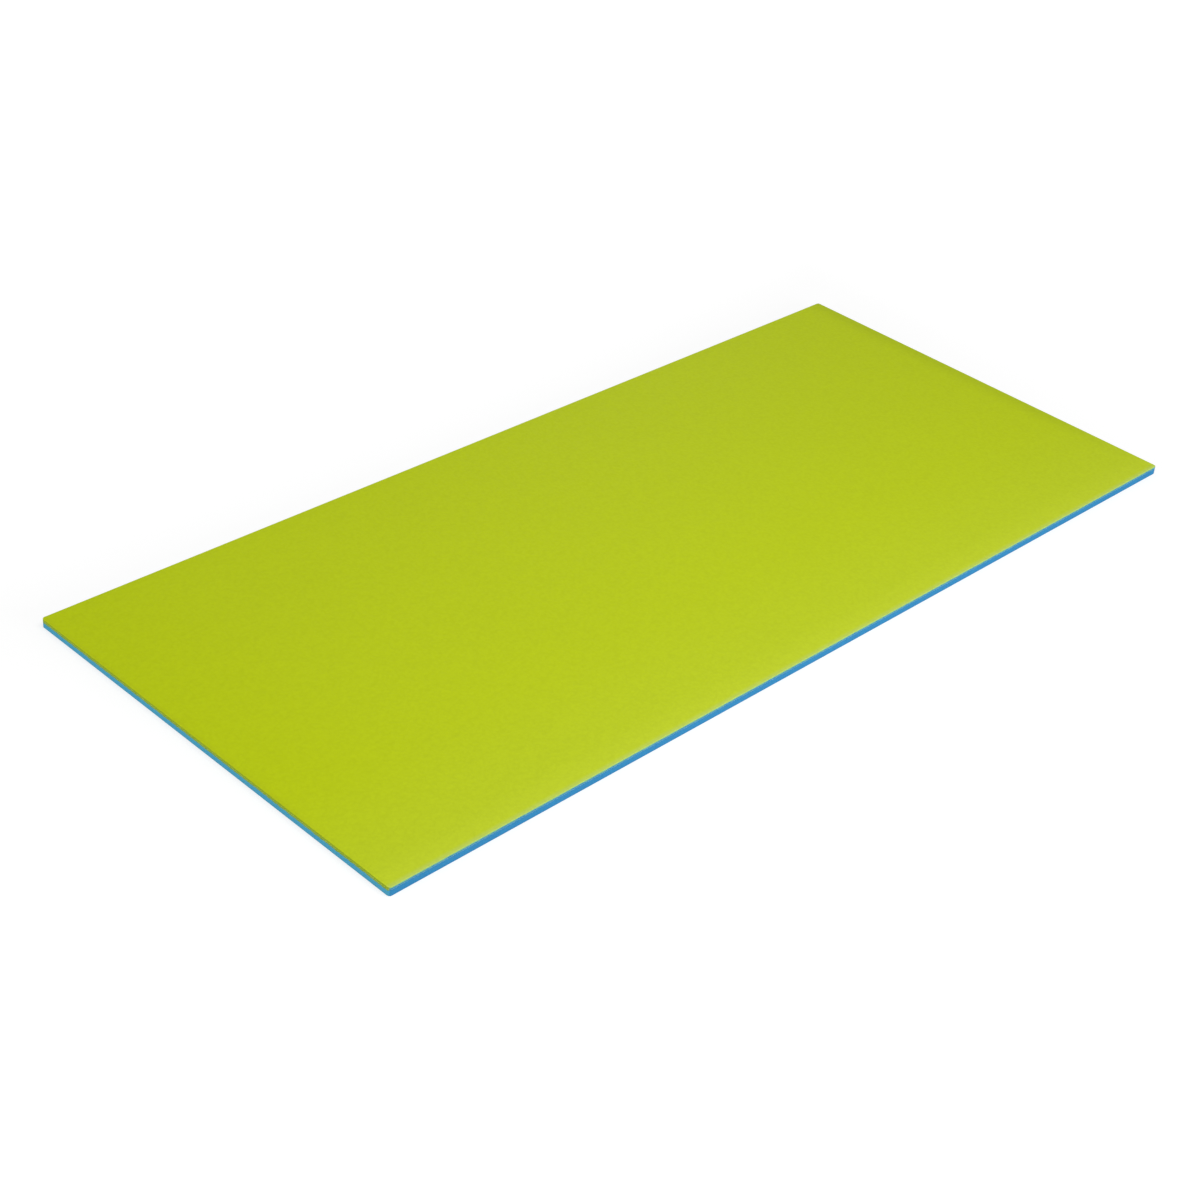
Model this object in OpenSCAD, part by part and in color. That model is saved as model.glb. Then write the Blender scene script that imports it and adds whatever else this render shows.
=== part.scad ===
// Exercise mat of laminated closed-cell foam: a lime top ply bonded to a thicker blue base ply.
// Millimetres, +Z up. The origin is the middle of the underside, and +X runs along the length.

/* [Overall size] */
// Length of the mat
mat_length = 1800; // [900:10:2400]
// Width of the mat
mat_width = 800; // [400:10:1200]
// Radius of the four die-cut corners, seen from above
corner_radius = 5; // [1:1:60]

/* [Plies] */
// Thickness of the blue base ply, which lies on the floor
base_thickness = 11; // [4:0.5:40]
// Thickness of the adhesive film between the two plies
film_thickness = 0.2; // [0.1:0.05:0.5]
// Thickness of the lime top ply
top_thickness = 4.8; // [1:0.1:20]

/* [Hidden] */
$fn = 96;
// Height of the seat that each layer is bonded to
film_seat = base_thickness;
top_seat = film_seat + film_thickness;

// Outline that one die cuts through all the layers: a rectangle with rounded corners
module cut_outline() {
    square([mat_length - 2 * corner_radius, mat_width], center = true);
    square([mat_length, mat_width - 2 * corner_radius], center = true);
    for (x = [-1, 1], y = [-1, 1])
        translate([x * (mat_length / 2 - corner_radius), y * (mat_width / 2 - corner_radius)])
            circle(r = corner_radius);
}

// One flat layer of the mat, from the height of its seat up
module layer(seat, thickness) {
    translate([0, 0, seat])
        linear_extrude(height = thickness)
            cut_outline();
}

// Thick cushioning ply of blue foam
module blue_base_ply() {
    color([0.11, 0.45, 0.72]) layer(0, base_thickness);
}

// Heat-set adhesive web that holds the two plies together
module bond_film() {
    color([0.86, 0.92, 0.84]) layer(film_seat, film_thickness);
}

// Thin wearing ply of lime foam
module lime_top_ply() {
    color([0.71, 0.78, 0.15]) layer(top_seat, top_thickness);
}

blue_base_ply();
bond_film();
lime_top_ply();
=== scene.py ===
"""Laminated foam exercise mat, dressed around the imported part.

The mat is three layers cut to one outline: a thick blue base ply, a thin adhesive film and a lime
top ply. Each layer is a closed mesh with a softened cut edge that stands for its CAD node, and its
skin and its cut foam have finishes of their own. Lengths are in metres.
"""

import logging
import math
from dataclasses import dataclass, field
from enum import Enum
from typing import NamedTuple, Optional, Union

import bmesh
import bpy
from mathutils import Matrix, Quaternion, Vector, noise


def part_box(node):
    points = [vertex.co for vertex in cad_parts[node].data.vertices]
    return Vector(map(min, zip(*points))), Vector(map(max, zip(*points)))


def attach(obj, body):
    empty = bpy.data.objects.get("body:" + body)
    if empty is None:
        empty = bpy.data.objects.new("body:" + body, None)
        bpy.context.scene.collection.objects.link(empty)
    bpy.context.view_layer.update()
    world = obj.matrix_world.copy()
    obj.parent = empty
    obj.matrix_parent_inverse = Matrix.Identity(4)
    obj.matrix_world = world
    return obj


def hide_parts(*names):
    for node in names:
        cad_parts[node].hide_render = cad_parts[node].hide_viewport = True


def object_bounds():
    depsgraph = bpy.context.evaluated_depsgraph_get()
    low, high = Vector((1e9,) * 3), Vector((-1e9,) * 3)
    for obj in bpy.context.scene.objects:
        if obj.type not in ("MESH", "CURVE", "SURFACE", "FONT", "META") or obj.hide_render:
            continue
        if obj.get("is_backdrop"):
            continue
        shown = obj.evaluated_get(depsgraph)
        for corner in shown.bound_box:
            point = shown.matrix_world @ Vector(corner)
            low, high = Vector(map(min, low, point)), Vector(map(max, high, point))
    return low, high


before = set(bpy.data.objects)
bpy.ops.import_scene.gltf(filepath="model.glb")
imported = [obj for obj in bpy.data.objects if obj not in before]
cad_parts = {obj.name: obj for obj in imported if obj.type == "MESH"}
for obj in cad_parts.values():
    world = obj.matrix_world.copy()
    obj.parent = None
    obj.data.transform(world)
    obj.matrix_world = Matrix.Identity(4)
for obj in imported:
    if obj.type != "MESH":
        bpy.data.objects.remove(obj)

log = logging.getLogger("foam_mat")

Triple = tuple[float, float, float]
Colour = Triple
BAKE_MAP = "OFBake"
MM = 0.001
FOAM_IOR = 1.46
ADHESIVE_IOR = 1.49
SENSOR_WIDTH = 36.0
CLIP_END = 100.0
MIX_LOW, MIX_HIGH, MIX_RESULT = 6, 7, 2


# ---------------------------------------------------------------- shader nodes


@dataclass(frozen=True)
class Signal:
    """A shader socket that takes part in sums and products."""

    sheet: "NodeSheet"
    socket: bpy.types.NodeSocket

    def _maths(self, operation: str, first: "Value", second: "Value") -> "Signal":
        """Adds one Math node and returns its result."""
        node = self.sheet.node("ShaderNodeMath", {"operation": operation}, {0: first, 1: second})
        return Signal(self.sheet, node.outputs[0])

    def __add__(self, other: "Value") -> "Signal":
        """Returns self + other."""
        return self._maths("ADD", self, other)

    def __radd__(self, other: "Value") -> "Signal":
        """Returns other + self."""
        return self._maths("ADD", other, self)

    def __sub__(self, other: "Value") -> "Signal":
        """Returns self - other."""
        return self._maths("SUBTRACT", self, other)

    def __rsub__(self, other: "Value") -> "Signal":
        """Returns other - self."""
        return self._maths("SUBTRACT", other, self)

    def __mul__(self, other: "Value") -> "Signal":
        """Returns self * other."""
        return self._maths("MULTIPLY", self, other)

    def __rmul__(self, other: "Value") -> "Signal":
        """Returns other * self."""
        return self._maths("MULTIPLY", other, self)

    def __truediv__(self, other: "Value") -> "Signal":
        """Returns self / other."""
        return self._maths("DIVIDE", self, other)

    def __rtruediv__(self, other: "Value") -> "Signal":
        """Returns other / self."""
        return self._maths("DIVIDE", other, self)

    def lesser(self, other: "Value") -> "Signal":
        """Returns the smaller of the two at each point."""
        return self._maths("MINIMUM", self, other)

    def greater(self, other: "Value") -> "Signal":
        """Returns the larger of the two at each point."""
        return self._maths("MAXIMUM", self, other)

    def fold(self, half_period: float) -> "Signal":
        """Returns a triangle wave that climbs from 0 to half_period and back."""
        return self._maths("PINGPONG", self, half_period)

    def size(self) -> "Signal":
        """Returns the absolute value."""
        return self._maths("ABSOLUTE", self, 0.0)

    def centred(self) -> "Signal":
        """Returns a signal of 0 to 1 about its middle, from -0.5 to 0.5."""
        return self - 0.5

    def span(self, low: float, high: float) -> "Signal":
        """Maps low..high to 0..1 along a smooth step, clamped at both ends.

        Args:
            low: the value that gives 0.
            high: the value that gives 1.

        Returns:
            The eased signal.
        """
        settings = {"interpolation_type": "SMOOTHSTEP", "clamp": True}
        inputs = {"Value": self, "From Min": low, "From Max": high}
        node = self.sheet.node("ShaderNodeMapRange", settings, inputs)
        return Signal(self.sheet, node.outputs[0])


Value = Union[Signal, bpy.types.NodeSocket, float, tuple]
Paint = Union[Colour, bpy.types.NodeSocket]


class NodeSheet:
    """The node tree of one material or world, with a few named ways to add to it."""

    def __init__(self, owner: Union[bpy.types.Material, bpy.types.World]) -> None:
        """Empties the owner's node tree and keeps it.

        Args:
            owner: the material or world.
        """
        owner.use_nodes = True
        self.tree = owner.node_tree
        self.tree.nodes.clear()

    def node(
        self,
        kind: str,
        settings: Optional[dict[str, object]] = None,
        inputs: Optional[dict[Union[int, str], Value]] = None,
    ) -> bpy.types.Node:
        """Adds one node.

        Args:
            kind: the node's type name.
            settings: its properties, which are set first, or None.
            inputs: a value or a link for each of its sockets, by name or number, or None.

        Returns:
            The new node.
        """
        node = self.tree.nodes.new(kind)
        for name, setting in (settings or {}).items():
            setattr(node, name, setting)
        for key, value in (inputs or {}).items():
            if isinstance(value, Signal):
                value = value.socket
            if isinstance(value, bpy.types.NodeSocket):
                self.tree.links.new(value, node.inputs[key])
            else:
                node.inputs[key].default_value = value
        return node

    def place(self, scale: Triple = (1.0, 1.0, 1.0)) -> bpy.types.NodeSocket:
        """Returns the piece's own coordinates in metres, multiplied by scale."""
        own = self.node("ShaderNodeTexCoord").outputs["Object"]
        return self.node("ShaderNodeVectorMath", {"operation": "MULTIPLY"}, {0: own, 1: scale}).outputs[0]

    def axes(self) -> tuple[Signal, Signal, Signal]:
        """Returns the piece's own X, Y and Z in metres."""
        split = self.node("ShaderNodeSeparateXYZ", inputs={0: self.place()})
        return tuple(Signal(self, out) for out in split.outputs)

    def clouds(self, size: float, detail: float = 2.0, fineness: Triple = (1.0, 1.0, 1.0)) -> Signal:
        """Returns noise of 0 to 1 in patches of that size, with a factor on its fineness by axis."""
        inputs = {"Vector": self.place(fineness), "Scale": 1.0 / size, "Detail": detail}
        return Signal(self, self.node("ShaderNodeTexNoise", inputs=inputs).outputs[0])

    def pebbles(self, size: float, feature: str = "SMOOTH_F1") -> Signal:
        """Returns the distance that a Voronoi feature gives in cells that wide, in cell widths."""
        inputs = {"Vector": self.place(), "Scale": 1.0 / size}
        return Signal(self, self.node("ShaderNodeTexVoronoi", {"feature": feature}, inputs).outputs[0])

    def blend(self, factor: Value, low: Paint, high: Paint) -> bpy.types.NodeSocket:
        """Mixes two colours.

        Args:
            factor: 0 for low and 1 for high.
            low: the first colour, as numbers or a socket.
            high: the second colour, as numbers or a socket.

        Returns:
            The mixed colour's socket.
        """
        inputs = {0: factor}
        for key, paint in ((MIX_LOW, low), (MIX_HIGH, high)):
            inputs[key] = (*paint, 1.0) if isinstance(paint, tuple) else paint
        settings = {"data_type": "RGBA", "clamp_factor": True}
        return self.node("ShaderNodeMix", settings, inputs).outputs[MIX_RESULT]

    def scaled(self, colour: Paint, factor: Signal) -> bpy.types.NodeSocket:
        """Returns the colour made lighter or darker by a factor that varies."""
        inputs = {0: colour, "Scale": factor}
        return self.node("ShaderNodeVectorMath", {"operation": "SCALE"}, inputs).outputs[0]

    def relief(self, height: Signal, depth: float) -> bpy.types.NodeSocket:
        """Returns the normal of a surface whose height signal spans depth."""
        inputs = {"Height": height, "Distance": depth, "Strength": 1.0}
        return self.node("ShaderNodeBump", inputs=inputs).outputs[0]

    def finish_surface(self, shader: bpy.types.NodeSocket, output: str = "ShaderNodeOutputMaterial") -> None:
        """Links the last shader to the tree's output."""
        self.node(output, inputs={"Surface": shader})


# ------------------------------------------------------------------------ plan


@dataclass(frozen=True)
class RimPoint:
    """One ring of a layer's edge: how far in from the outline, and how high."""

    inset: float
    height: float


class Station(NamedTuple):
    """A place round the edge: where it springs from on the flat's mesh, and the way out."""

    column: int
    row: int
    outward: Vector


@dataclass(frozen=True)
class Outline:
    """Plan of the mat: a rectangle with rounded corners, divided for meshing.

    Attributes:
        length: the size along X.
        width: the size along Y.
        corner_radius: the radius of the corners.
        cell: the width of a mesh face on the flat.
        arc_steps: how many faces go round one corner.
    """

    length: float
    width: float
    corner_radius: float = 5.0 * MM
    cell: float = 8.0 * MM
    arc_steps: int = 8

    @property
    def columns(self) -> int:
        """Mesh faces along X on the flat."""
        return round((self.length - 2.0 * self.corner_radius) / self.cell)

    @property
    def rows(self) -> int:
        """Mesh faces along Y on the flat."""
        return round((self.width - 2.0 * self.corner_radius) / self.cell)

    def flat_point(self, column: int, row: int) -> Vector:
        """Places one corner of the flat's mesh.

        Args:
            column: its number along X, from the end at -X.
            row: its number along Y, from the side at -Y.

        Returns:
            Its position in the plan.
        """
        x = (column / self.columns - 0.5) * (self.length - 2.0 * self.corner_radius)
        y = (row / self.rows - 0.5) * (self.width - 2.0 * self.corner_radius)
        return Vector((x, y, 0.0))

    def margin(self, point: Vector) -> float:
        """Returns how far in from the nearest side a place lies."""
        return max(min(self.length / 2.0 - abs(point.x), self.width / 2.0 - abs(point.y)), 0.0)

    def end_split(self) -> tuple[float, float]:
        """Returns the span of |x| - |y| over which the edge turns from a side into an end."""
        turn = (self.length - self.width) / 2.0
        return turn - self.corner_radius / 2.0, turn + self.corner_radius / 2.0

    def stations(self) -> list[Station]:
        """Lists the places round the edge, anticlockwise from the corner at +X, -Y.

        Returns:
            The places in order. Those round one corner all spring from the same mesh point.
        """
        columns, rows = self.columns, self.rows
        sides = [
            [(columns, row) for row in range(rows + 1)],
            [(column, rows) for column in range(columns, -1, -1)],
            [(0, row) for row in range(rows, -1, -1)],
            [(column, 0) for column in range(columns + 1)],
        ]
        found = []
        for number, side in enumerate(sides):
            heading = number * math.pi / 2.0
            outward = Vector((math.cos(heading), math.sin(heading), 0.0))
            found += [Station(column, row, outward) for column, row in side]
            for step in range(1, self.arc_steps):
                turned = heading + step / self.arc_steps * math.pi / 2.0
                found.append(Station(*side[-1], Vector((math.cos(turned), math.sin(turned), 0.0))))
        return found


# ------------------------------------------------------------------- finishes


class Emboss(Enum):
    """What the rollers press into a foam skin, each with the distances between which it slopes.

    A pebble's are from its middle, in cell widths, and a diamond's from its groove, in pitches.
    """

    PEBBLE = (0.15, 0.75)
    DIAMOND = (0.03, 0.17)


class Edge(Enum):
    """The edges of the mat, each as the axis that it lies across and the way along that axis."""

    FRONT = (1, -1.0)
    LEFT = (0, -1.0)
    RIGHT = (0, 1.0)


@dataclass(frozen=True)
class PaintedLightBand:
    """A band along one edge of a skin, painted lighter or darker: painted light and shade.

    Attributes:
        edge: the edge that it follows.
        reach: how far in from the edge it goes.
        colour: the painted colour at the edge, in linear light.
    """

    edge: Edge
    reach: float
    colour: Colour

    def over(self, sheet: NodeSheet, base: Paint, outline: Outline) -> bpy.types.NodeSocket:
        """Lays the band on a colour.

        Args:
            sheet: the material's nodes.
            base: the colour of the skin without it.
            outline: the plan of the mat.

        Returns:
            The mixed colour's socket.
        """
        axis, way = self.edge.value
        half = (outline.length, outline.width)[axis] / 2.0
        outward = sheet.axes()[axis] * way
        return sheet.blend(outward.span(half - self.reach, half), base, self.colour)


@dataclass(frozen=True)
class Drag:
    """Foam of the next ply that the knife has dragged over a cut face.

    Attributes:
        colour: the dragged foam's colour in linear light.
        reach: how far past the bond it gets.
        way: 1 where the cut face lies above the bond, and -1 where it lies below.
        fade: the distance over which it thins out there.
        streak: the width of the streaks that it is left in.
        drawn: how fine a streak is upwards, as a share of how fine it is across.
        raggedness: how far its reach varies from streak to streak.
    """

    colour: Colour
    reach: float
    way: float = 1.0
    fade: float = 1.2 * MM
    streak: float = 6.0 * MM
    drawn: float = 0.12
    raggedness: float = 4.0 * MM

    def over(self, sheet: NodeSheet, base: Paint, bond: float) -> bpy.types.NodeSocket:
        """Lays the dragged foam on a colour.

        Args:
            sheet: the material's nodes.
            base: the colour of the cut face.
            bond: the height of the bond with the next ply.

        Returns:
            The mixed colour's socket.
        """
        streaks = sheet.clouds(self.streak, 3.0, (1.0, 1.0, self.drawn))
        past = (sheet.axes()[2] - bond + streaks.centred() * self.raggedness) * self.way
        cover = past.span(self.reach + self.fade / 2.0, self.reach - self.fade / 2.0)
        return sheet.blend(cover, base, self.colour)


@dataclass(frozen=True)
class FoamSkin:
    """Closed outer skin of a foam sheet, satin and finely embossed.

    Attributes:
        name: the material's name.
        colour: the foam's colour in linear light.
        outline: the plan of the mat.
        emboss: the pressed pattern.
        pitch: the pattern's spacing.
        depth: how deep the pattern is pressed.
        bands: bands of painted light and shade along the edges.
        unevenness: how much the colour varies, as a share.
        drift: the width of the broad drifts in which it varies, and how much they count.
        patch: the width of the patches in which it varies, and how much they count.
        pressed_shade: how much darker the pressed parts are than the raised ones, on the same scale: painted
            shade in the emboss.
        roughness: the mean roughness.
        dulling: how much the roughness varies from patch to patch.
        polish: how much smoother the raised parts are.
        grain: the width of the fine grain, as a share of the pitch.
        grain_share: how much of the relief is grain.
        specular: how strongly the skin's gloss shows.
    """

    name: str
    colour: Colour
    outline: Outline
    emboss: Emboss
    pitch: float
    depth: float
    bands: tuple[PaintedLightBand, ...] = ()
    unevenness: float = 0.085
    drift: tuple[float, float] = (220.0 * MM, 0.3)
    patch: tuple[float, float] = (10.0 * MM, 1.1)
    pressed_shade: float = 0.45
    roughness: float = 0.62
    dulling: float = 0.12
    polish: float = 0.05
    grain: float = 0.3
    grain_share: float = 0.3
    specular: float = 0.09

    def pattern(self, sheet: NodeSheet) -> Signal:
        """Makes the embossed pattern.

        Args:
            sheet: the material's nodes.

        Returns:
            A signal that is 1 on the raised parts and 0 in the pressed ones.
        """
        if self.emboss is Emboss.PEBBLE:
            return 1.0 - sheet.pebbles(self.pitch).span(*self.emboss.value)
        x, y, _ = sheet.axes()
        across = ((x + y) / (self.pitch * math.sqrt(2.0))).fold(0.5)
        along = ((x - y) / (self.pitch * math.sqrt(2.0))).fold(0.5)
        return across.lesser(along).span(*self.emboss.value)

    def material(self) -> bpy.types.Material:
        """Makes the finish.

        Returns:
            The finished material.
        """
        made = bpy.data.materials.new(self.name)
        sheet = NodeSheet(made)
        raised = self.pattern(sheet)
        drift = sheet.clouds(self.drift[0], 3.0).centred()
        patches = sheet.clouds(self.patch[0]).centred()
        # The pressed parts are painted darker than the raised ones: painted shade in the emboss.
        mottle = drift * self.drift[1] + patches * self.patch[1] + raised.centred() * self.pressed_shade
        base = self.colour
        # The bands are painted light and shade along the edges.
        for band in self.bands:
            base = band.over(sheet, base, self.outline)
        grain = sheet.clouds(self.pitch * self.grain, 1.0)
        relief = raised * (1.0 - self.grain_share) + grain * self.grain_share
        inputs = {
            "Base Color": sheet.scaled(base, 1.0 + mottle * self.unevenness),
            "Roughness": self.roughness + patches * self.dulling - raised.centred() * self.polish,
            "Normal": sheet.relief(relief, self.depth),
            "IOR": FOAM_IOR,
            "Specular IOR Level": self.specular,
        }
        sheet.finish_surface(sheet.node("ShaderNodeBsdfPrincipled", inputs=inputs).outputs[0])
        return made


@dataclass(frozen=True)
class CutFoam:
    """Foam where the knife has opened its cells: paler and duller than the skin.

    Attributes:
        name: the material's name.
        side: the foam's colour in linear light, along the sides.
        end: the same at the two ends, with the light and shade that fall on them painted in.
        outline: the plan of the mat.
        bond: the height of the bond with the next ply.
        side_drag: what the knife dragged over the cut along the sides.
        end_drag: the same at the ends.
        cell: the width of one cell, and how much the cells count in the colour.
        wall: the distances from a cell's middle between which it slopes, in cell widths.
        stroke: the spacing of the knife's upright marks, and how much they count.
        drawn: how fine a mark is upwards, as a share of how fine it is across.
        smear: the width of the smeared patches, and how much they count.
        unevenness: how much the colour varies, as a share.
        depth: how deep the relief is, which is made by cells and marks.
        cell_relief: how much of it an opened cell makes.
        stroke_relief: how much of it a mark makes.
        roughness: the mean roughness.
        dulling: how much the roughness varies from smear to smear.
        specular: how strongly its gloss shows.
    """

    name: str
    side: Colour
    end: Colour
    outline: Outline
    bond: float
    side_drag: Optional[Drag] = None
    end_drag: Optional[Drag] = None
    cell: tuple[float, float] = (0.7 * MM, 0.3)
    wall: tuple[float, float] = (0.1, 0.7)
    stroke: tuple[float, float] = (2.4 * MM, 0.4)
    drawn: float = 0.08
    smear: tuple[float, float] = (30.0 * MM, 0.4)
    unevenness: float = 0.20
    depth: float = 0.12 * MM
    cell_relief: float = 0.7
    stroke_relief: float = 0.6
    roughness: float = 0.86
    dulling: float = 0.12
    specular: float = 0.1

    def material(self) -> bpy.types.Material:
        """Makes the finish.

        Returns:
            The finished material.
        """
        made = bpy.data.materials.new(self.name)
        sheet = NodeSheet(made)
        walls = sheet.pebbles(self.cell[0], "F1").span(*self.wall)
        strokes = sheet.clouds(self.stroke[0], fineness=(1.0, 1.0, self.drawn))
        smears = sheet.clouds(self.smear[0]).centred()
        grain = walls.centred() * self.cell[1] + strokes.centred() * self.stroke[1] + smears * self.smear[1]
        side = self.side_drag.over(sheet, self.side, self.bond) if self.side_drag else self.side
        end = self.end_drag.over(sheet, self.end, self.bond) if self.end_drag else self.end
        x, y, _ = sheet.axes()
        # The faces that look along X take the end colour: painted light and shade on the ends.
        painted_end_mask = (x.size() - y.size()).span(*self.outline.end_split())
        inputs = {
            "Base Color": sheet.scaled(sheet.blend(painted_end_mask, side, end), 1.0 + grain * self.unevenness),
            "Roughness": self.roughness + smears * self.dulling,
            "Normal": sheet.relief(walls * self.cell_relief + strokes * self.stroke_relief, self.depth),
            "IOR": FOAM_IOR,
            "Specular IOR Level": self.specular,
        }
        sheet.finish_surface(sheet.node("ShaderNodeBsdfPrincipled", inputs=inputs).outputs[0])
        return made


@dataclass(frozen=True)
class SetAdhesive:
    """Edge of the adhesive web between the plies: pale, satin and slightly beaded.

    Attributes:
        name: the material's name.
        colour: its colour in linear light.
        bead: the length of the beads along the edge.
        edge: where in the noise a bead starts and ends.
        depth: how far a bead stands out.
        unevenness: how much darker it is between the beads, as a share.
        roughness: the mean roughness.
        dulling: how much the roughness varies from bead to bead.
    """

    name: str
    colour: Colour
    bead: float = 4.0 * MM
    edge: tuple[float, float] = (0.3, 0.7)
    depth: float = 0.05 * MM
    unevenness: float = 0.15
    roughness: float = 0.45
    dulling: float = 0.2

    def material(self) -> bpy.types.Material:
        """Makes the finish.

        Returns:
            The finished material.
        """
        made = bpy.data.materials.new(self.name)
        sheet = NodeSheet(made)
        beads = sheet.clouds(self.bead)
        tone = (1.0 - self.unevenness) + beads.span(*self.edge) * self.unevenness
        inputs = {
            "Base Color": sheet.scaled(self.colour, tone),
            "Roughness": self.roughness + beads.centred() * self.dulling,
            "Normal": sheet.relief(beads, self.depth),
            "IOR": ADHESIVE_IOR,
        }
        sheet.finish_surface(sheet.node("ShaderNodeBsdfPrincipled", inputs=inputs).outputs[0])
        return made


# ---------------------------------------------------------------- mesh of a layer


@dataclass(frozen=True)
class BakePlan:
    """How a layer's faces share its texture: one wide flat, and strips of the edge below it.

    Attributes:
        strips: how many strips the edge is folded into.
        strip: the height of one strip, as a share of the texture.
        gap: the empty share between two strips.
        hidden: the height left for a face that is bonded to the next layer.
    """

    strips: int = 5
    strip: float = 0.022
    gap: float = 0.004
    hidden: float = 0.012

    @property
    def floor(self) -> float:
        """The height in the texture at which the flat begins."""
        return self.strips * (self.strip + self.gap) + 2.0 * (self.hidden + self.gap)


@dataclass(frozen=True)
class Ripple:
    """One scale of the smooth unevenness of a shape.

    Attributes:
        share: how much it counts.
        across: its fineness along X and Y, per metre.
        upward: its fineness along Z, per metre.
        shift: where in the noise it starts.
    """

    share: float
    across: float
    upward: float = 0.0
    shift: float = 0.0

    def at(self, point: Vector) -> float:
        """Returns its value at a place, between -share and share."""
        height = point.z * self.upward + self.shift
        return self.share * noise.noise(Vector((point.x * self.across, point.y * self.across, height)))


SWELL_RIPPLES = (Ripple(0.75, across=2.6, shift=4.0), Ripple(0.25, across=9.0, shift=11.0))
KNIFE_RIPPLES = (Ripple(0.35, across=11.0, upward=60.0), Ripple(0.15, across=95.0, upward=240.0))


def quarter(inset: float, height: float, steps: int) -> list[RimPoint]:
    """Returns a quarter ellipse in so many steps, from no inset and height to the full ones."""
    angles = [math.pi / 2.0 * step / steps for step in range(steps + 1)]
    return [RimPoint(inset * (1.0 - math.cos(a)), height * math.sin(a)) for a in angles]


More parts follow.
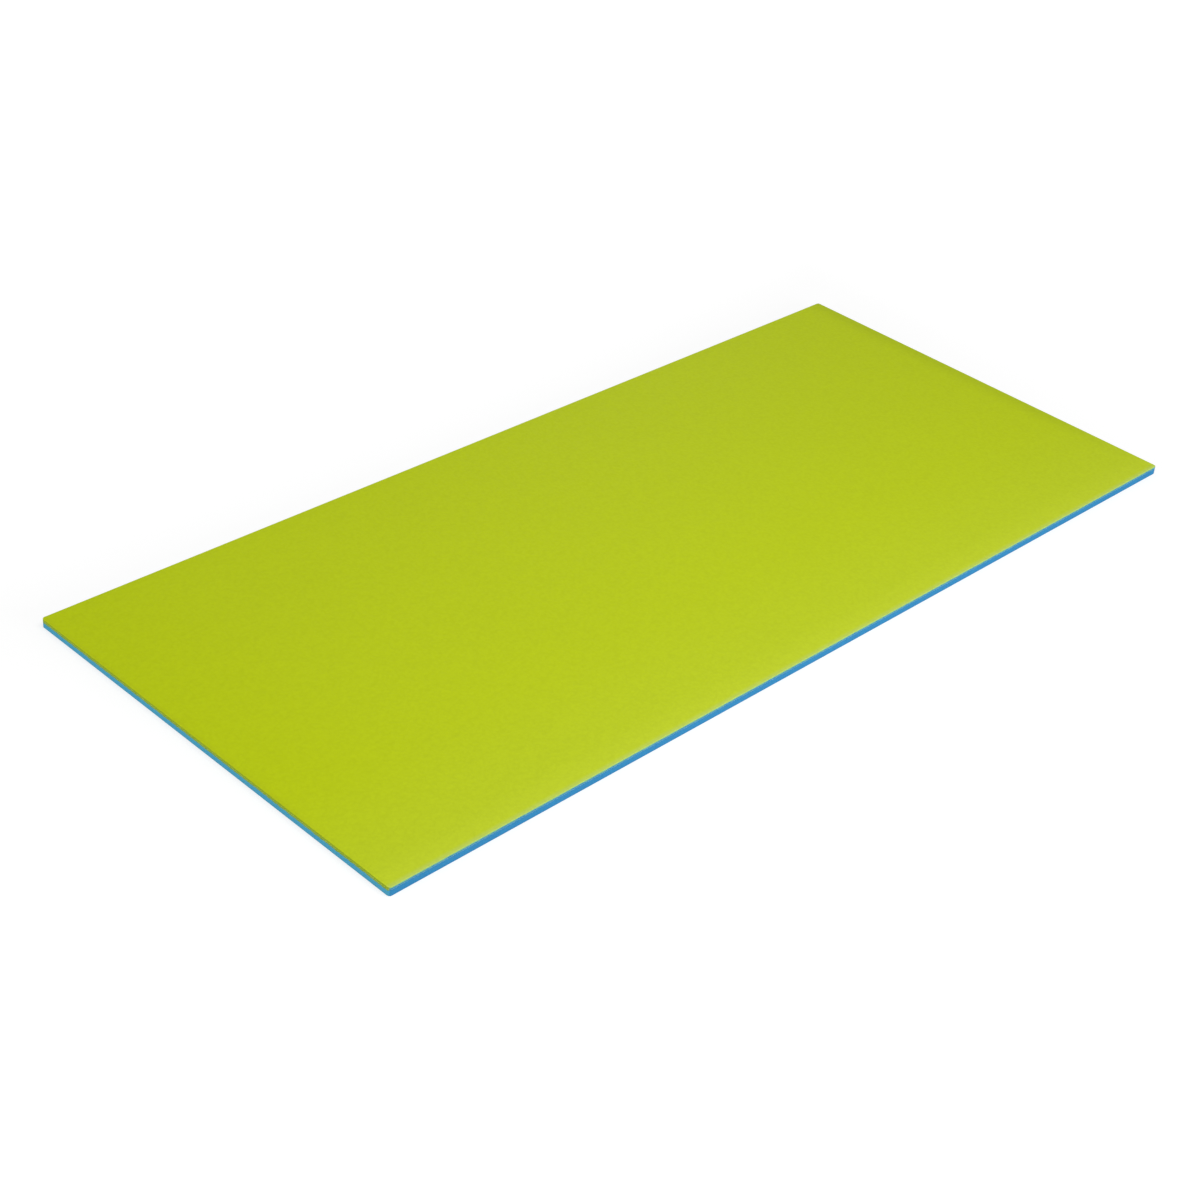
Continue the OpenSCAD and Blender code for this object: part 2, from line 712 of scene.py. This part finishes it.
@dataclass
class Layer:
    """One layer of the mat, from the node of the same solid.

    Attributes:
        piece: the name of the visible piece.
        node: the CAD node that it stands for.
        slot: the record's material slot, which is not used.
        outline: the plan shared by all the layers.
        wander: how far the knife strays along the edge.
        swell: how far a visible flat rises and dips.
        shoulder: how far the upper skin has sunk at the edge, where it was cut.
        shoulder_reach: how far in from the edge that fades out.
        skin_above: whether its upper face is seen.
        skin_below: whether its lower face is seen.
        bake: how its texture is shared out.
        bottom: the height of the node's underside.
        top: the height of the node's upper face.
    """

    piece: str
    node: str
    slot: str
    outline: Outline
    wander: float = 0.10 * MM
    swell: float = 0.15 * MM
    shoulder: float = 0.25 * MM
    shoulder_reach: float = 12.0 * MM
    skin_above: bool = False
    skin_below: bool = False
    bake: BakePlan = field(default_factory=BakePlan)
    bottom: float = field(init=False)
    top: float = field(init=False)

    def __post_init__(self) -> None:
        """Reads the layer's heights from its node."""
        low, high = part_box(self.node)
        self.bottom, self.top = low.z, high.z

    def rim(self) -> list[RimPoint]:
        """Returns the rings of the edge, from the lower face to the upper one."""
        raise NotImplementedError

    def foot(self, inset: float, height: float, steps: int) -> list[RimPoint]:
        """Returns the rings of a rounded lower edge, from the lower face to the upright side."""
        turned = reversed(quarter(inset, height, steps))
        return [RimPoint(p.inset, self.bottom + height - p.height) for p in turned]

    def head(self, inset: float, height: float, steps: int) -> list[RimPoint]:
        """Returns the rings of a rounded upper edge, from the upright side to the upper face."""
        turned = quarter(inset, height, steps)
        return [RimPoint(p.inset, self.top - height + p.height) for p in turned]

    def cut_span(self) -> tuple[float, float]:
        """Returns the heights between which the edge is cut foam."""
        raise NotImplementedError

    def finishes(self) -> list[bpy.types.Material]:
        """Returns the skin's material and the cut edge's."""
        raise NotImplementedError

    def lifted(self, point: Vector) -> float:
        """Returns how far the foam's face lies above or below flat at a place."""
        fade = min(self.outline.margin(point) / self.shoulder_reach, 1.0)
        return self.swell * sum(r.at(point) for r in SWELL_RIPPLES) - self.shoulder * (1.0 - fade) ** 2

    def strayed(self, point: Vector) -> float:
        """Returns how far the knife has strayed inwards at a place on the edge."""
        return self.wander * (0.5 + sum(r.at(point) for r in KNIFE_RIPPLES))

    def share(self, height: float) -> float:
        """Returns 0 at the lower face and 1 at the upper one."""
        return (height - self.bottom) / (self.top - self.bottom)

    def seat(self, plan: Vector, height: float) -> Vector:
        """Returns a point of the mesh, with the faces' swell that is seen there."""
        above = self.lifted(plan) * self.share(height) if self.skin_above else 0.0
        return Vector((plan.x, plan.y, height + above))

    def build(self) -> bpy.types.Object:
        """Builds the closed mesh of the layer, with its texture map.

        Returns:
            The new object, linked to the scene.
        """
        mesh = bmesh.new()
        uv = mesh.loops.layers.uv.new(BAKE_MAP)
        stations, rim = self.outline.stations(), self.rim()
        rings = [[mesh.verts.new(self.edge_point(s, ring)) for s in stations] for ring in rim]
        self.wrap(mesh, uv, rings, rim)
        self.close(mesh, uv, rings[-1], self.top, self.skin_above, upward=True)
        self.close(mesh, uv, rings[0], self.bottom, self.skin_below, upward=False)
        data = bpy.data.meshes.new(self.piece)
        mesh.normal_update()
        mesh.to_mesh(data)
        mesh.free()
        made = bpy.data.objects.new(self.piece, data)
        bpy.context.scene.collection.objects.link(made)
        return made

    def edge_point(self, station: Station, ring: RimPoint) -> Vector:
        """Places one vertex of the edge.

        Args:
            station: the place round the edge.
            ring: the ring that it lies on.

        Returns:
            Its position, with the knife's wander and the foam's swell.
        """
        root = self.outline.flat_point(station.column, station.row)
        reach = self.outline.corner_radius - ring.inset
        at = root + station.outward * reach + Vector((0.0, 0.0, ring.height))
        plan = root + station.outward * max(reach - self.strayed(at), 0.0)
        return self.seat(plan, ring.height)

    def wrap(
        self,
        mesh: bmesh.types.BMesh,
        uv: bmesh.types.BMLayerItem,
        rings: list[list[bmesh.types.BMVert]],
        rim: list[RimPoint],
    ) -> None:
        """Joins the rings into the band of faces round the edge.

        Args:
            mesh: the mesh that is added to.
            uv: its texture map.
            rings: the vertices of each ring, from the lower face up.
            rim: the same rings as insets and heights.
        """
        count, plan = len(rings[0]), self.bake
        travel = [0.0]
        for near, far in zip(rim, rim[1:]):
            travel.append(travel[-1] + math.hypot(far.inset - near.inset, far.height - near.height))
        cut_from, cut_to = self.cut_span()
        per_strip = math.ceil(count / plan.strips)
        for level in range(len(rim) - 1):
            middle = (rim[level].height + rim[level + 1].height) / 2.0
            for place in range(count):
                strip, column = divmod(place, per_strip)
                after = (place + 1) % count
                low, high = rings[level], rings[level + 1]
                face = mesh.faces.new((low[place], low[after], high[after], high[place]))
                face.smooth = True
                face.material_index = int(cut_from < middle < cut_to)
                foot = strip * (plan.strip + plan.gap)
                for loop, (right, up) in zip(face.loops, ((0, 0), (1, 0), (1, 1), (0, 1))):
                    rise = travel[level + up] / travel[-1] * plan.strip
                    loop[uv].uv = ((column + right) / per_strip, foot + rise)

    def close(
        self,
        mesh: bmesh.types.BMesh,
        uv: bmesh.types.BMLayerItem,
        ring: list[bmesh.types.BMVert],
        height: float,
        seen: bool,
        upward: bool,
    ) -> None:
        """Fills one face of the layer.

        Args:
            mesh: the mesh that is added to.
            uv: its texture map.
            ring: the edge's last ring on that side.
            height: the height of the face.
            seen: whether the face is a visible skin, which gets a fine mesh.
            upward: whether the face looks up.
        """
        if seen:
            self.close_with_skin(mesh, uv, ring, height, upward)
            return
        face = mesh.faces.new(ring if upward else ring[::-1])
        plan, lane = self.bake, 1 if upward else 0
        foot = plan.strips * (plan.strip + plan.gap) + lane * (plan.hidden + plan.gap)
        for loop in face.loops:
            along = loop.vert.co.x / self.outline.length + 0.5
            across = loop.vert.co.y / self.outline.width + 0.5
            loop[uv].uv = (along, foot + across * plan.hidden)
        for edge in face.edges:
            edge.smooth = False

    def close_with_skin(
        self,
        mesh: bmesh.types.BMesh,
        uv: bmesh.types.BMLayerItem,
        ring: list[bmesh.types.BMVert],
        height: float,
        upward: bool,
    ) -> None:
        """Fills one visible face with an even mesh that can swell and dip.

        Args:
            mesh: the mesh that is added to.
            uv: its texture map.
            ring: the edge's last ring on that side.
            height: the height of the face.
            upward: whether the face looks up.
        """
        outline, stations = self.outline, self.outline.stations()
        flat = [
            [
                mesh.verts.new(self.seat(outline.flat_point(column, row), height))
                for row in range(outline.rows + 1)
            ]
            for column in range(outline.columns + 1)
        ]
        corners = [
            (flat[c][r], flat[c + 1][r], flat[c + 1][r + 1], flat[c][r + 1])
            for c in range(outline.columns)
            for r in range(outline.rows)
        ]
        for place, station in enumerate(stations):
            after = (place + 1) % len(stations)
            inner = flat[station.column][station.row]
            next_inner = flat[stations[after].column][stations[after].row]
            side = [ring[place], ring[after], next_inner, inner]
            corners.append(side if inner is not next_inner else side[:3])
        floor = self.bake.floor
        for around in corners:
            face = mesh.faces.new(around if upward else around[::-1])
            face.smooth = True
            for loop in face.loops:
                along = loop.vert.co.x / outline.length + 0.5
                across = loop.vert.co.y / outline.width + 0.5
                loop[uv].uv = (along, floor + across * (1.0 - floor))

    def dress(self, made: bpy.types.Object) -> bpy.types.Object:
        """Gives the piece its materials and ties it to the frame.

        Args:
            made: the piece's object.

        Returns:
            The same object.
        """
        for material in self.finishes():
            made.data.materials.append(material)
        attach(made, "root")
        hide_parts(self.node)
        return made


@dataclass
class LimeTopPly(Layer):
    """Thin wearing ply, whose skin rolls over the cut edge.

    Attributes:
        colour: the skin's colour in linear light.
        side_cut: the colour of the foam cut along the sides, pale mint: partly the opened cells' own
            paleness and partly a painted highlight.
        end_cut_painted_light: the colour of the foam cut at the ends, dark olive: painted shade.
        side_drag: the blue foam dragged over it along the sides.
        roll_inset: how far in from the edge the skin starts to roll over.
        roll_drop: how far down the roll reaches.
        roll_opened: how much of that the knife has opened, as a share.
        roll_steps: how many faces the roll is divided into.
        pinch: how far the foot of the edge is drawn in at the bond.
        pinch_height: how far up that goes.
        pinch_steps: how many faces it is divided into.
        bands: painted light and shade along some edges of the skin.
    """

    colour: Colour = (0.471, 0.577, 0.006)
    # Along the sides the cut is pale mint, partly the opened cells' own paleness and partly a painted
    # highlight; at the ends it is dark olive, painted shade.
    side_cut: Colour = (0.205, 0.480, 0.260)
    end_cut_painted_light: Colour = (0.292, 0.396, 0.018)
    side_drag: Drag = Drag((0.042, 0.260, 0.470), reach=2.0 * MM)
    roll_inset: float = 1.6 * MM
    roll_drop: float = 0.9 * MM
    roll_opened: float = 0.25
    roll_steps: int = 6
    pinch: float = 0.35 * MM
    pinch_height: float = 0.7 * MM
    pinch_steps: int = 3
    # Painted light and shade: darker towards the left end and along its rim, darker near the right end,
    # lighter towards the front edge, with a painted sheen along the front rim.
    bands: tuple[PaintedLightBand, ...] = (
        PaintedLightBand(Edge.LEFT, reach=300.0 * MM, colour=(0.468, 0.572, 0.003)),
        PaintedLightBand(Edge.LEFT, reach=10.0 * MM, colour=(0.448, 0.540, 0.005)),
        PaintedLightBand(Edge.RIGHT, reach=45.0 * MM, colour=(0.420, 0.515, 0.006)),
        PaintedLightBand(Edge.FRONT, reach=260.0 * MM, colour=(0.475, 0.581, 0.014)),
        PaintedLightBand(Edge.FRONT, reach=60.0 * MM, colour=(0.500, 0.606, 0.020)),
        PaintedLightBand(Edge.FRONT, reach=10.0 * MM, colour=(0.465, 0.595, 0.100)),
    )

    def rim(self) -> list[RimPoint]:
        """Shapes the edge.

        Returns:
            Its rings, from the lower face to the upper one.
        """
        # The foot stops one ring short, so that the side leans in gently towards the bond.
        foot = self.foot(self.pinch, self.pinch_height, self.pinch_steps)[:-1]
        head = self.head(self.roll_inset, self.roll_drop, self.roll_steps)
        return [*foot, RimPoint(0.0, (foot[-1].height + head[0].height) / 2.0), *head]

    def cut_span(self) -> tuple[float, float]:
        """Returns the heights between which the edge is cut foam, which end in the roll."""
        return self.bottom, self.top - self.roll_drop * (1.0 - self.roll_opened)

    def finishes(self) -> list[bpy.types.Material]:
        """Makes the layer's materials.

        Returns:
            The skin's and the cut edge's.
        """
        skin = FoamSkin(
            "lime_foam_skin",
            self.colour,
            self.outline,
            Emboss.PEBBLE,
            pitch=5.0 * MM,
            depth=0.22 * MM,
            bands=self.bands,
        )
        cut = CutFoam(
            "lime_cut_foam", self.side_cut, self.end_cut_painted_light, self.outline, self.bottom, side_drag=self.side_drag
        )
        return [skin.material(), cut.material()]


@dataclass
class BlueBasePly(Layer):
    """Thick cushioning ply that lies on the floor.

    Attributes:
        colour: the skin's colour in linear light.
        side_cut: the colour of the foam cut along the sides.
        end_cut_painted_light: the colour of the foam cut at the ends, a paler copy of the side's: painted
            light.
        end_drag: the lime foam dragged over it at the ends, in the olive of the lime's painted shade.
        foot_radius: the radius of the lower edge.
        foot_steps: how many faces it is divided into.
        pinch: how far the top of the edge is drawn in at the bond.
        pinch_height: how far down that goes.
        pinch_steps: how many faces it is divided into.
        side_rings: how many bands of faces the upright side has.
    """

    colour: Colour = (0.035, 0.245, 0.480)
    side_cut: Colour = (0.038, 0.245, 0.490)
    # The end colour is a paler copy of the side's: painted light on the ends.
    end_cut_painted_light: Colour = (0.070, 0.350, 0.534)
    # The dragged olive carries the lime's painted shade down over the blue's top at the ends.
    end_drag: Drag = Drag((0.225, 0.365, 0.015), reach=1.9 * MM, way=-1.0)
    foot_radius: float = 0.8 * MM
    foot_steps: int = 5
    pinch: float = 0.35 * MM
    pinch_height: float = 0.9 * MM
    pinch_steps: int = 3
    side_rings: int = 5

    def rim(self) -> list[RimPoint]:
        """Shapes the edge.

        Returns:
            Its rings, from the lower face to the upper one.
        """
        foot = self.foot(self.foot_radius, self.foot_radius, self.foot_steps)
        head = self.head(self.pinch, self.pinch_height, self.pinch_steps)
        step = (head[0].height - foot[-1].height) / self.side_rings
        side = [RimPoint(0.0, foot[-1].height + step * k) for k in range(1, self.side_rings)]
        return [*foot, *side, *head]

    def cut_span(self) -> tuple[float, float]:
        """Returns the heights between which the edge is cut foam, which start in the rounded foot."""
        return self.bottom + self.foot_radius / 2.0, self.top

    def finishes(self) -> list[bpy.types.Material]:
        """Makes the layer's materials.

        Returns:
            The skin's and the cut edge's.
        """
        skin = FoamSkin(
            "blue_foam_skin", self.colour, self.outline, Emboss.DIAMOND, pitch=6.0 * MM, depth=0.25 * MM
        )
        cut = CutFoam(
            "blue_cut_foam", self.side_cut, self.end_cut_painted_light, self.outline, self.top, end_drag=self.end_drag
        )
        return [skin.material(), cut.material()]


@dataclass
class BondFilm(Layer):
    """Adhesive web between the plies, seen as a fine line in the pinch of the edge.

    Attributes:
        colour: its colour in linear light.
        recess: how far its bead lies in from the outline.
        bead_steps: how many faces each half of the bead is divided into.
    """

    colour: Colour = (0.60, 0.74, 0.58)
    recess: float = 0.12 * MM
    bead_steps: int = 3

    def rim(self) -> list[RimPoint]:
        """Shapes the edge.

        Returns:
            Its rings, from the lower face to the upper one.
        """
        half = (self.top - self.bottom) / 2.0
        bead = [*self.foot(half, half, self.bead_steps), *self.head(half, half, self.bead_steps)[1:]]
        return [RimPoint(self.recess + p.inset, p.height) for p in bead]

    def cut_span(self) -> tuple[float, float]:
        """Returns an empty span, because the bead is all adhesive."""
        return self.top, self.top

    def finishes(self) -> list[bpy.types.Material]:
        """Returns the film's one material."""
        return [SetAdhesive("set_adhesive", self.colour).material()]


# ---------------------------------------------------------------------- studio


@dataclass(frozen=True)
class SoftBox:
    """One rectangular lamp, aimed at a point.

    Attributes:
        name: the lamp's name.
        place: its centre.
        aim: the point that it faces.
        size: its width and height.
        level: what it adds to a white card that lies at the aim and faces it.
    """

    name: str
    place: Triple
    aim: Triple
    size: tuple[float, float]
    level: float

    def hang(self) -> None:
        """Adds the lamp to the scene."""
        lamp = bpy.data.lights.new(self.name, "AREA")
        lamp.shape = "RECTANGLE"
        lamp.size, lamp.size_y = self.size
        reach = Vector(self.aim) - Vector(self.place)
        lamp.energy = self.level * math.pi**2 * reach.length_squared
        made = bpy.data.objects.new(self.name, lamp)
        made.location = self.place
        made.rotation_mode = "QUATERNION"
        made.rotation_quaternion = reach.to_track_quat("-Z", "Y")
        bpy.context.scene.collection.objects.link(made)


@dataclass(frozen=True)
class Camera:
    """A camera that looks at a point from a direction.

    Attributes:
        aim: the point in the middle of the view.
        azimuth: degrees round the object, 0 looking along +Y and 90 along -X.
        elevation: degrees above the floor.
        roll: degrees turned about the line of sight.
        distance: from the aim.
        lens: focal length in millimetres.
    """

    aim: Triple = (-0.1912, -0.0800, 0.0080)
    azimuth: float = -47.89
    elevation: float = 33.33
    roll: float = 5.42
    distance: float = 3.621
    lens: float = 68.95

    def place(self) -> None:
        """Adds the camera and makes it the scene's."""
        around, above = math.radians(self.azimuth), math.radians(self.elevation)
        level = math.cos(above)
        back = Vector((math.sin(around) * level, -math.cos(around) * level, math.sin(above)))
        data = bpy.data.cameras.new("camera")
        data.lens, data.sensor_width = self.lens, SENSOR_WIDTH
        data.clip_end = CLIP_END
        made = bpy.data.objects.new("camera", data)
        made.location = Vector(self.aim) + back * self.distance
        made.rotation_mode = "QUATERNION"
        turned = Quaternion((0.0, 0.0, 1.0), math.radians(self.roll))
        made.rotation_quaternion = (-back).to_track_quat("-Z", "Y") @ turned
        bpy.context.scene.collection.objects.link(made)
        bpy.context.scene.camera = made


@dataclass(frozen=True)
class Studio:
    """White floor and sky, with the lamps.

    Attributes:
        half_floor: half the floor's width.
        ambient: how brightly the sky lights the object.
        lit: how much of its light the floor shows where the camera sees it.
        glow: what is added to that beside the mat.
        far_glow: what is added to that away from the mat.
        fade: the distances from the mat between which the one turns into the other.
        bounce: how much light the floor throws back on the object.
        clearance: how far under the mat it lies.
        mat_half: half the length and width of the mat.
    """

    mat_half: tuple[float, float]
    half_floor: float = 30.0
    ambient: float = 0.42
    lit: float = 0.30
    glow: float = 0.74
    far_glow: float = 1.0
    fade: tuple[float, float] = (0.05, 0.7)
    bounce: float = 0.80
    clearance: float = 0.05 * MM
    lamps: tuple[SoftBox, ...] = (
        SoftBox("key_box", (-0.25, -0.95, 2.5), (-0.1, -0.1, 0.0), (2.0, 1.2), 0.47),
        SoftBox("back_box", (1.6, 1.6, 0.9), (0.85, 0.42, 0.0), (0.6, 0.6), 0.11),
        SoftBox("front_box", (0.4, -3.2, 0.8), (0.1, -0.3, 0.0), (2.4, 0.8), 0.48),
        SoftBox("side_box", (-5.5, 0.7, 0.8), (-0.6, 0.0, 0.0), (2.0, 2.4), 0.415),
    )

    def seen(self, sheet: NodeSheet) -> Signal:
        """Returns 1 for what is seen straight, in gloss or through glass, and 0 for other light."""
        path = self.path_outputs(sheet)
        return path["Is Camera Ray"].greater(path["Is Glossy Ray"]).greater(path["Is Transmission Ray"])

    def path_outputs(self, sheet: NodeSheet) -> dict[str, Signal]:
        """Returns the Light Path node's results by name."""
        return {out.name: Signal(sheet, out) for out in sheet.node("ShaderNodeLightPath").outputs}

    def floor_material(self) -> bpy.types.Material:
        """Makes a white floor that keeps the mat's soft shadow.

        Returns:
            The floor's material.
        """
        made = bpy.data.materials.new("studio_floor")
        sheet = NodeSheet(made)
        x, y, _ = sheet.axes()
        away = (x.size() - self.mat_half[0]).greater(y.size() - self.mat_half[1])
        glow = self.glow + away.span(*self.fade) * (self.far_glow - self.glow)
        card = sheet.node("ShaderNodeBsdfDiffuse", inputs={"Color": (self.lit, self.lit, self.lit, 1.0)})
        light = sheet.node("ShaderNodeEmission", inputs={"Strength": glow})
        shown = sheet.node("ShaderNodeAddShader", inputs={0: card.outputs[0], 1: light.outputs[0]})
        white = sheet.node(
            "ShaderNodeBsdfDiffuse", inputs={"Color": (self.bounce, self.bounce, self.bounce, 1.0)}
        )
        inputs = {0: self.seen(sheet), 1: white.outputs[0], 2: shown.outputs[0]}
        sheet.finish_surface(sheet.node("ShaderNodeMixShader", inputs=inputs).outputs[0])
        return made

    def lay_floor(self) -> None:
        """Adds the floor under the mat."""
        mesh = bmesh.new()
        bmesh.ops.create_grid(mesh, x_segments=2, y_segments=2, size=self.half_floor)
        data = bpy.data.meshes.new("floor")
        mesh.to_mesh(data)
        mesh.free()
        data.materials.append(self.floor_material())
        made = bpy.data.objects.new("floor", data)
        made.location.z = -self.clearance
        bpy.context.scene.collection.objects.link(made)
        made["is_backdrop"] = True

    def light_sky(self) -> None:
        """Adds a sky that looks white and lights the object gently."""
        world = bpy.data.worlds.new("studio_sky")
        bpy.context.scene.world = world
        sheet = NodeSheet(world)
        level = self.ambient + self.seen(sheet) * (1.0 - self.ambient)
        sky = sheet.node("ShaderNodeBackground", inputs={"Color": (1.0, 1.0, 1.0, 1.0), "Strength": level})
        sheet.finish_surface(sky.outputs[0], "ShaderNodeOutputWorld")

    def set_up(self) -> None:
        """Adds everything round the object."""
        self.lay_floor()
        self.light_sky()
        for lamp in self.lamps:
            lamp.hang()
        bpy.context.scene.view_settings.view_transform = "Standard"


# ------------------------------------------------------------------------ main


def main() -> None:
    """Builds the mat's layers in order, then the studio round them."""
    logging.basicConfig(level=logging.INFO, format="%(name)s: %(message)s")
    cad_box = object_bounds()
    span = cad_box[1] - cad_box[0]
    outline = Outline(length=span.x, width=span.y)
    layers = [
        BlueBasePly("blue_base_foam", "blue_base_ply", "blue_foam", outline, skin_below=True),
        BondFilm("bond_line", "bond_film", "bond_adhesive", outline),
        LimeTopPly("lime_top_foam", "lime_top_ply", "lime_foam", outline, skin_above=True),
    ]
    for layer in layers:
        made = layer.dress(layer.build())
        log.info("%s: %d faces, %.1f mm thick", made.name, len(made.data.polygons), made.dimensions.z / MM)
    Studio(mat_half=(span.x / 2.0, span.y / 2.0)).set_up()
    Camera().place()


if __name__ == "__main__":
    main()
